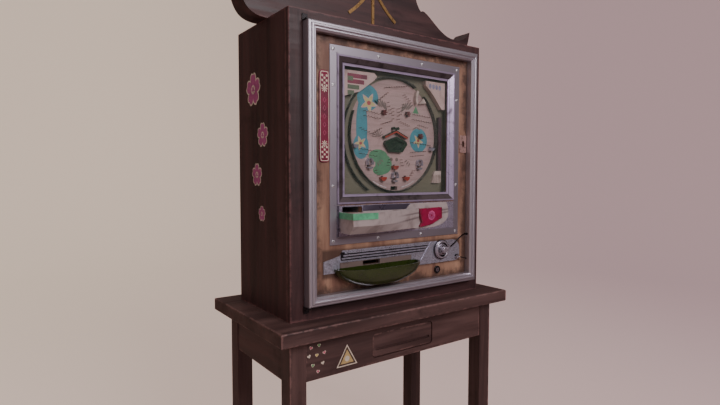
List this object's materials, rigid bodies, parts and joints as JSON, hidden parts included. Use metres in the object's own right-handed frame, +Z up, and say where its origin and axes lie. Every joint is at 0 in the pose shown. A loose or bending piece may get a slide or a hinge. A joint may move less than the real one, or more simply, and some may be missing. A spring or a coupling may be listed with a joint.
{
  "type": "pachinko machine",
  "caption": "Upright pachinko machine in a wooden cabinet on a drawer stand, with opening doors, a turning shooter and working tulips.",
  "frame": {"origin": "on the floor under the middle of the stand", "axes": "+X to the player's right, +Y from the front into the cabinet, +Z up"},
  "size_m": [1.024, 0.542, 2.01],
  "materials": {
    "dark_wood": "dark stained, worn edges",
    "stand_wood": "dark stained, scuffed",
    "panel_wood": "tan veneer darkened at the edges",
    "bare_wood": "unfinished ply",
    "rim_metal": "tarnished",
    "bezel_steel": "dull, grimy",
    "frame_chrome": "tarnished chrome",
    "hammered": "hammered and oxidised",
    "screw_steel": "worn",
    "black_steel": "satin black",
    "gold": "dull gold",
    "sticker": "printed film",
    "crimson": "glossy moulded",
    "badge": "enamelled plate",
    "glass": "clear",
    "tray_plastic": "aged grey moulding",
    "mint": "mint green moulding",
    "olive": "dark olive, glossy",
    "ball_steel": "polished balls",
    "board_print": "printed playfield ply",
    "rail_steel": "dark spring steel",
    "fitting": "pale moulding",
    "column": "dark plum",
    "red_plastic": "red moulding",
    "silver_plastic": "metallised plastic",
    "green_plastic": "dark green moulding",
    "card": "printed card",
    "brass": "nails",
    "works_plastic": "grey works moulding"
  },
  "bodies": {
    "cabinet": {"stand_top": "stand_wood", "legs": "stand_wood", "apron_front": "stand_wood", "aprons": "stand_wood", "drawer_runners": "bare_wood", "cabinet_shelves": "dark_wood", "cabinet_sides": "dark_wood", "cabinet_back": "dark_wood", "front_surround": "dark_wood", "headboard": "dark_wood", "gold_motif": "gold", "stickers": "sticker", "pivot_brackets": "black_steel"},
    "drawer": {"drawer_front": "stand_wood", "drawer_box": "bare_wood"},
    "main_door": {"ball_tank": "works_plastic", "bezel": "bezel_steel", "bezel_screws": "screw_steel", "board_spacer": "bare_wood", "centrepiece": "green_plastic", "corner_cards": "card", "door_panel": "panel_wood", "drain_chute": "works_plastic", "feed_chute": "works_plastic", "guide_rails": "rail_steel", "hammer_bracket": "black_steel", "latch_plate": "bezel_steel", "launch_column": "column", "lock_housing": "black_steel", "loose_balls": "ball_steel", "lower_plate": "hammered", "lower_tray": "olive", "nails": "brass", "payout_unit": "works_plastic", "playfield_board": "board_print", "pockets": "red_plastic", "rail_fittings": "fitting", "rim_frame": "rim_metal", "shooter_boss": "frame_chrome", "side_badge": "badge", "tulip_cups": "silver_plastic"},
    "glass_door": {"glass_frame": "frame_chrome", "window_glass": "glass"},
    "tray_door": {"tray_plate": "hammered", "upper_tray": "tray_plastic", "tray_trim": "mint", "feed_cover": "crimson"},
    "shooter": {"shooter_lever": "black_steel"},
    "hammer": {"hammer": "black_steel"},
    "key": {"key_cylinder": "screw_steel"},
    "release": {"release_lever": "black_steel"},
    "petal_left_left": {"petal_left_left": "silver_plastic"},
    "petal_left_right": {"petal_left_right": "silver_plastic"},
    "petal_right_left": {"petal_right_left": "silver_plastic"},
    "petal_right_right": {"petal_right_right": "silver_plastic"},
    "petal_centre_left": {"petal_centre_left": "silver_plastic"},
    "petal_centre_right": {"petal_centre_right": "silver_plastic"},
    "spinner_upper_left": {"spinner_upper_left": "red_plastic"},
    "spinner_upper_right": {"spinner_upper_right": "red_plastic"},
    "spinner_right": {"spinner_right": "red_plastic"}
  },
  "joints": [
    {"name": "drawer_slide", "type": "slide", "parent": "cabinet", "child": "drawer", "axis": [0, -1, 0], "range_m": [0, 0.22]},
    {"name": "main_door_hinge", "type": "hinge", "parent": "cabinet", "child": "main_door", "pos_m": [-0.3605, -0.2005, 0.7655], "axis": [0, 0, -1], "range_deg": [0, 105]},
    {"name": "glass_door_hinge", "type": "hinge", "parent": "main_door", "child": "glass_door", "pos_m": [-0.2495, -0.1915, 1.074], "axis": [0, 0, -1], "range_deg": [0, 100]},
    {"name": "tray_door_hinge", "type": "hinge", "parent": "main_door", "child": "tray_door", "pos_m": [-0.2495, -0.1915, 0.972], "axis": [0, 0, -1], "range_deg": [0, 85]},
    {"name": "shooter_turn", "type": "hinge", "parent": "main_door", "child": "shooter", "pos_m": [0.203, -0.1975, 0.895], "axis": [0, 1, 0], "range_deg": [0, 45], "stiffness_Nm_per_rad": 0.4, "springref_deg": -22.92},
    {"name": "hammer_swing", "type": "hinge", "parent": "main_door", "child": "hammer", "pos_m": [0.143, -0.1535, 0.957], "axis": [0, 1, 0], "range_deg": [-25, 0]},
    {"name": "key_turn", "type": "hinge", "parent": "main_door", "child": "key", "pos_m": [0.188, -0.1875, 0.821], "axis": [0, 1, 0], "range_deg": [0, 90]},
    {"name": "release_turn", "type": "hinge", "parent": "main_door", "child": "release", "pos_m": [0.286, -0.1875, 0.862], "axis": [0, 1, 0], "range_deg": [0, 35], "stiffness_Nm_per_rad": 0.06, "springref_deg": -17.19},
    {"name": "petal_left_left_turn", "type": "hinge", "parent": "main_door", "child": "petal_left_left", "pos_m": [-0.113, -0.1555, 1.205], "axis": [0, -1, 0], "range_deg": [0, 35]},
    {"name": "petal_left_right_turn", "type": "hinge", "parent": "main_door", "child": "petal_left_right", "pos_m": [-0.093, -0.1555, 1.205], "axis": [0, 1, 0], "range_deg": [0, 35]},
    {"name": "petal_right_left_turn", "type": "hinge", "parent": "main_door", "child": "petal_right_left", "pos_m": [0.111, -0.1555, 1.204], "axis": [0, -1, 0], "range_deg": [0, 35]},
    {"name": "petal_right_right_turn", "type": "hinge", "parent": "main_door", "child": "petal_right_right", "pos_m": [0.131, -0.1555, 1.204], "axis": [0, 1, 0], "range_deg": [0, 35]},
    {"name": "petal_centre_left_turn", "type": "hinge", "parent": "main_door", "child": "petal_centre_left", "pos_m": [-0.003, -0.1555, 1.16], "axis": [0, -1, 0], "range_deg": [0, 35]},
    {"name": "petal_centre_right_turn", "type": "hinge", "parent": "main_door", "child": "petal_centre_right", "pos_m": [0.017, -0.1555, 1.16], "axis": [0, 1, 0], "range_deg": [0, 35]},
    {"name": "spinner_upper_left_spin", "type": "hinge", "parent": "main_door", "child": "spinner_upper_left", "pos_m": [-0.042, -0.1555, 1.38], "axis": [0, 1, 0], "continuous": true},
    {"name": "spinner_upper_right_spin", "type": "hinge", "parent": "main_door", "child": "spinner_upper_right", "pos_m": [0.064, -0.1555, 1.382], "axis": [0, 1, 0], "continuous": true},
    {"name": "spinner_right_spin", "type": "hinge", "parent": "main_door", "child": "spinner_right", "pos_m": [0.126, -0.1555, 1.307], "axis": [0, 1, 0], "continuous": true}
  ],
  "couplings": [
    {"joint": "hammer_swing", "follows": "shooter_turn", "ratio": -0.5},
    {"joint": "petal_left_right_turn", "follows": "petal_left_left_turn", "ratio": 1},
    {"joint": "petal_right_right_turn", "follows": "petal_right_left_turn", "ratio": 1},
    {"joint": "petal_centre_right_turn", "follows": "petal_centre_left_turn", "ratio": 1}
  ]
}
